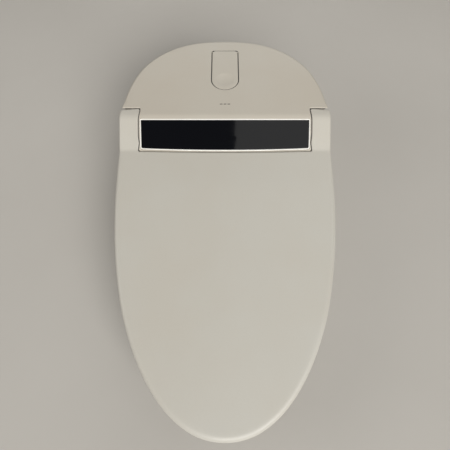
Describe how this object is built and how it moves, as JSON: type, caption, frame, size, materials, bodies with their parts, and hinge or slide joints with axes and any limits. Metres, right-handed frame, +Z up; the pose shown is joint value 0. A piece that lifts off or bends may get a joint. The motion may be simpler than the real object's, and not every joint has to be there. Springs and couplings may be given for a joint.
{
  "type": "electric bidet seat",
  "caption": "Bidet toilet seat unit: domed rear housing with display strip and refill flap, long closing lid, heated ring, wash nozzles, dryer and deodoriser.",
  "frame": {"origin": "midway between the two fixing bolts, on the plane of the pan's rim", "axes": "+Z up, -Y forward to the tip of the lid, +X to the right seen from behind the lid's tip looking at the housing"},
  "size_m": [0.383, 0.7095, 0.16],
  "materials": {
    "lid_plastic": "satin moulded plastic, warm off-white",
    "seat_plastic": "satin moulded plastic, warm off-white",
    "cover_plastic": "satin moulded plastic, warm off-white",
    "tray_plastic": "fine moulded texture",
    "trim_plastic": "bright gloss edge",
    "display_glass": "black back-printed glass",
    "board": "solder mask",
    "steel": "plain steel",
    "brass": "turned brass",
    "rubber": "moulded rubber",
    "black_plastic": "moulded plastic",
    "white_plastic": "moulded plastic",
    "grey_plastic": "moulded plastic",
    "tank_plastic": "translucent moulded plastic",
    "coil_red": "varnished winding",
    "heater_ceramic": "ceramic block",
    "lamp": "diffusing lens"
  },
  "bodies": {
    "bracket": {"mount_plate": "black_plastic", "mount_bolts": "steel", "expansion_bushes": "rubber", "taper_nuts": "brass"},
    "unit": {"base_tray": "tray_plastic", "rear_cover": "cover_plastic", "tray_pads": "rubber", "case_screws": "steel", "hinge_blocks": "black_plastic", "hinge_pins": "steel", "lid_damper": "black_plastic", "seat_damper": "black_plastic", "display_trim": "trim_plastic", "display_glass": "display_glass", "display_board": "board", "nozzle_cradle": "white_plastic", "nozzle_motors": "steel", "inlet_fitting": "brass", "inlet_strainer": "steel", "solenoid_body": "black_plastic", "solenoid_coil": "coil_red", "flow_sensor": "black_plastic", "heater_tank": "white_plastic", "heater_element": "steel", "diverter_valve": "white_plastic", "diverter_motor": "steel", "air_pump": "grey_plastic", "water_hoses": "tank_plastic", "blower_housing": "grey_plastic", "blower_motor": "black_plastic", "dryer_duct": "grey_plastic", "dryer_heater": "heater_ceramic", "filter_sleeve": "grey_plastic", "deodoriser_frame": "black_plastic", "control_board": "board", "power_module": "black_plastic", "cord_gland": "rubber", "night_light": "lamp", "foam_tank": "tank_plastic", "refill_well": "tray_plastic"},
    "seat": {"seat_shell": "seat_plastic", "seat_base": "seat_plastic", "seat_bumpers": "rubber"},
    "lid": {"lid_panel": "lid_plastic", "lid_liner": "lid_plastic"},
    "rear_wash": {"rear_nozzle": "white_plastic", "rear_nozzle_tip": "white_plastic"},
    "front_wash": {"front_nozzle": "white_plastic", "front_nozzle_tip": "white_plastic"},
    "rear_gear": {"rear_pinion": "white_plastic"},
    "front_gear": {"front_pinion": "white_plastic"},
    "air_door": {"dryer_flap": "tray_plastic"},
    "foam_door": {"refill_flap": "cover_plastic"},
    "button": {"release_button": "cover_plastic"},
    "filter": {"filter_cartridge": "cover_plastic", "filter_carbon": "black_plastic"},
    "blower": {"blower_wheel": "white_plastic"},
    "fan": {"deodoriser_fan": "black_plastic"},
    "turbine": {"flow_turbine": "white_plastic"},
    "plunger": {"solenoid_plunger": "steel"}
  },
  "joints": [
    {"name": "unit_release", "type": "slide", "parent": "bracket", "child": "unit", "axis": [0, -1, 0], "range_m": [0, 0.05]},
    {"name": "seat_hinge", "type": "hinge", "parent": "unit", "child": "seat", "pos_m": [0, 0.009, 0.084], "axis": [-1, 0, 0], "range_deg": [0, 95]},
    {"name": "lid_hinge", "type": "hinge", "parent": "seat", "child": "lid", "pos_m": [0, 0.009, 0.084], "axis": [1, 0, 0], "range_deg": [-105, 0]},
    {"name": "rear_nozzle_slide", "type": "slide", "parent": "unit", "child": "rear_wash", "axis": [0, -0.866, -0.5], "range_m": [0, 0.09]},
    {"name": "front_nozzle_slide", "type": "slide", "parent": "unit", "child": "front_wash", "axis": [0, -0.866, -0.5], "range_m": [0, 0.09]},
    {"name": "rear_gear_spin", "type": "hinge", "parent": "unit", "child": "rear_gear", "pos_m": [-0.012, -0.02107, 0.0516], "axis": [-1, 0, 0], "range_deg": [0, 860]},
    {"name": "front_gear_spin", "type": "hinge", "parent": "unit", "child": "front_gear", "pos_m": [0.012, -0.02107, 0.0516], "axis": [-1, 0, 0], "range_deg": [0, 860]},
    {"name": "dryer_flap_hinge", "type": "hinge", "parent": "unit", "child": "air_door", "pos_m": [-0.074, -0.0341, 0.0316], "axis": [-1, 0, 0], "range_deg": [0, 35]},
    {"name": "refill_flap_hinge", "type": "hinge", "parent": "unit", "child": "foam_door", "pos_m": [0, 0.1849, 0.1101], "axis": [-1, 0, 0], "range_deg": [0, 95]},
    {"name": "button_press", "type": "slide", "parent": "unit", "child": "button", "axis": [-1, 0, 0], "range_m": [0, 0.004], "stiffness_N_per_m": 400},
    {"name": "filter_slide", "type": "slide", "parent": "unit", "child": "filter", "axis": [-1, 0, 0], "range_m": [0, 0.045]},
    {"name": "blower_spin", "type": "hinge", "parent": "unit", "child": "blower", "pos_m": [-0.092, 0.098, 0.03], "axis": [0, 0, 1], "continuous": true},
    {"name": "fan_spin", "type": "hinge", "parent": "unit", "child": "fan", "pos_m": [-0.151, 0.107, 0.029], "axis": [0, 1, 0], "continuous": true},
    {"name": "turbine_spin", "type": "hinge", "parent": "unit", "child": "turbine", "pos_m": [0.071, 0.15, 0.04], "axis": [1, 0, 0], "continuous": true},
    {"name": "plunger_lift", "type": "slide", "parent": "unit", "child": "plunger", "axis": [0, 0, 1], "range_m": [0, 0.004], "stiffness_N_per_m": 200, "springref_m": -0.004}
  ],
  "couplings": [
    {"joint": "rear_gear_spin", "follows": "rear_nozzle_slide", "rad_per_m": 166.67},
    {"joint": "front_gear_spin", "follows": "front_nozzle_slide", "rad_per_m": 166.67}
  ]
}
